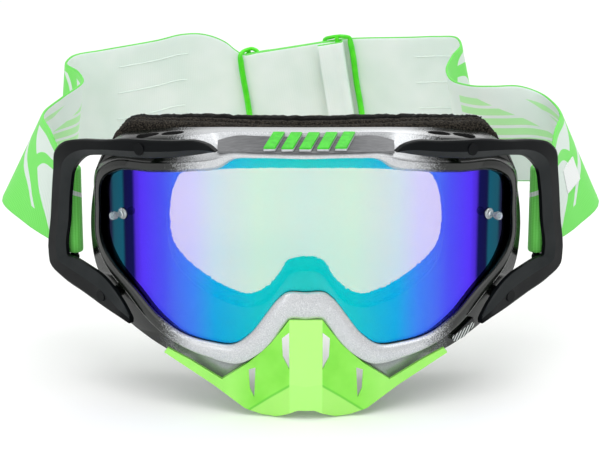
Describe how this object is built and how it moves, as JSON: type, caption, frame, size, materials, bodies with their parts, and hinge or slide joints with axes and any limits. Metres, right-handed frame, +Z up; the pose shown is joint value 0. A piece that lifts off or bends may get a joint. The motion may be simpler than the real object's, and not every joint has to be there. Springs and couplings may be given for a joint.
{
  "type": "motocross goggles",
  "caption": "Motocross goggles with a mirror lens in a moulded frame, layered face foam, strap outriggers, a clip-in nose guard and an elastic strap with slides.",
  "frame": {"origin": "middle of the face opening, half way along the depth of the foam's curved back", "axes": "+X to the wearer's left, +Y from the lens towards the back of the head, +Z up"},
  "size_m": [0.2414, 0.1919, 0.1253],
  "materials": {
    "frame_paint": "silver metallic paint fading to gloss black at the sides",
    "grey_plastic": "matte",
    "green_plastic": "smooth moulded",
    "badge_rubber": "soft moulded",
    "lens_mirror": "blue mirror coat",
    "clear_plastic": "clear moulded",
    "foam": "open-cell foam",
    "fleece": "brushed fleece",
    "filter_foam": "coarse foam",
    "black_plastic": "fine texture",
    "strap_webbing": "woven elastic",
    "silicone": "clear bead",
    "slide_plastic": "smooth moulded",
    "tag_fabric": "woven"
  },
  "bodies": {
    "root": {"frame_shell": "frame_paint", "brow_plate": "grey_plastic", "brow_badge": "green_plastic", "side_badge": "badge_rubber", "lens": "lens_mirror", "tear_off_post_left": "clear_plastic", "tear_off_post_right": "clear_plastic", "post_nuts": "clear_plastic", "foam_base": "foam", "foam_middle": "foam", "foam_fleece": "fleece", "vent_filter_top": "filter_foam", "vent_filter_bottom": "filter_foam", "outrigger_left": "black_plastic", "outrigger_right": "black_plastic", "outrigger_pins_left": "black_plastic", "outrigger_pins_right": "black_plastic", "strap_left": "strap_webbing", "strap_right": "strap_webbing", "strap_loop_left": "strap_webbing", "strap_loop_right": "strap_webbing", "grip_beads_left": "silicone", "grip_beads_right": "silicone", "strap_tag": "tag_fabric"},
    "nose_guard": {"nose_guard": "green_plastic"},
    "slide_left": {"slide_left": "slide_plastic", "strap_end_left": "strap_webbing"},
    "slide_right": {"slide_right": "slide_plastic", "strap_end_right": "strap_webbing"}
  },
  "joints": [
    {"name": "nose_guard_pull", "type": "slide", "parent": "root", "child": "nose_guard", "axis": [0, -1, 0], "range_m": [0, 0.015]},
    {"name": "slide_left_run", "type": "slide", "parent": "root", "child": "slide_left", "axis": [-0.9877, 0, -0.1564], "range_m": [0, 0.012]},
    {"name": "slide_right_run", "type": "slide", "parent": "root", "child": "slide_right", "axis": [0.9877, 0, 0.1564], "range_m": [0, 0.012]}
  ]
}
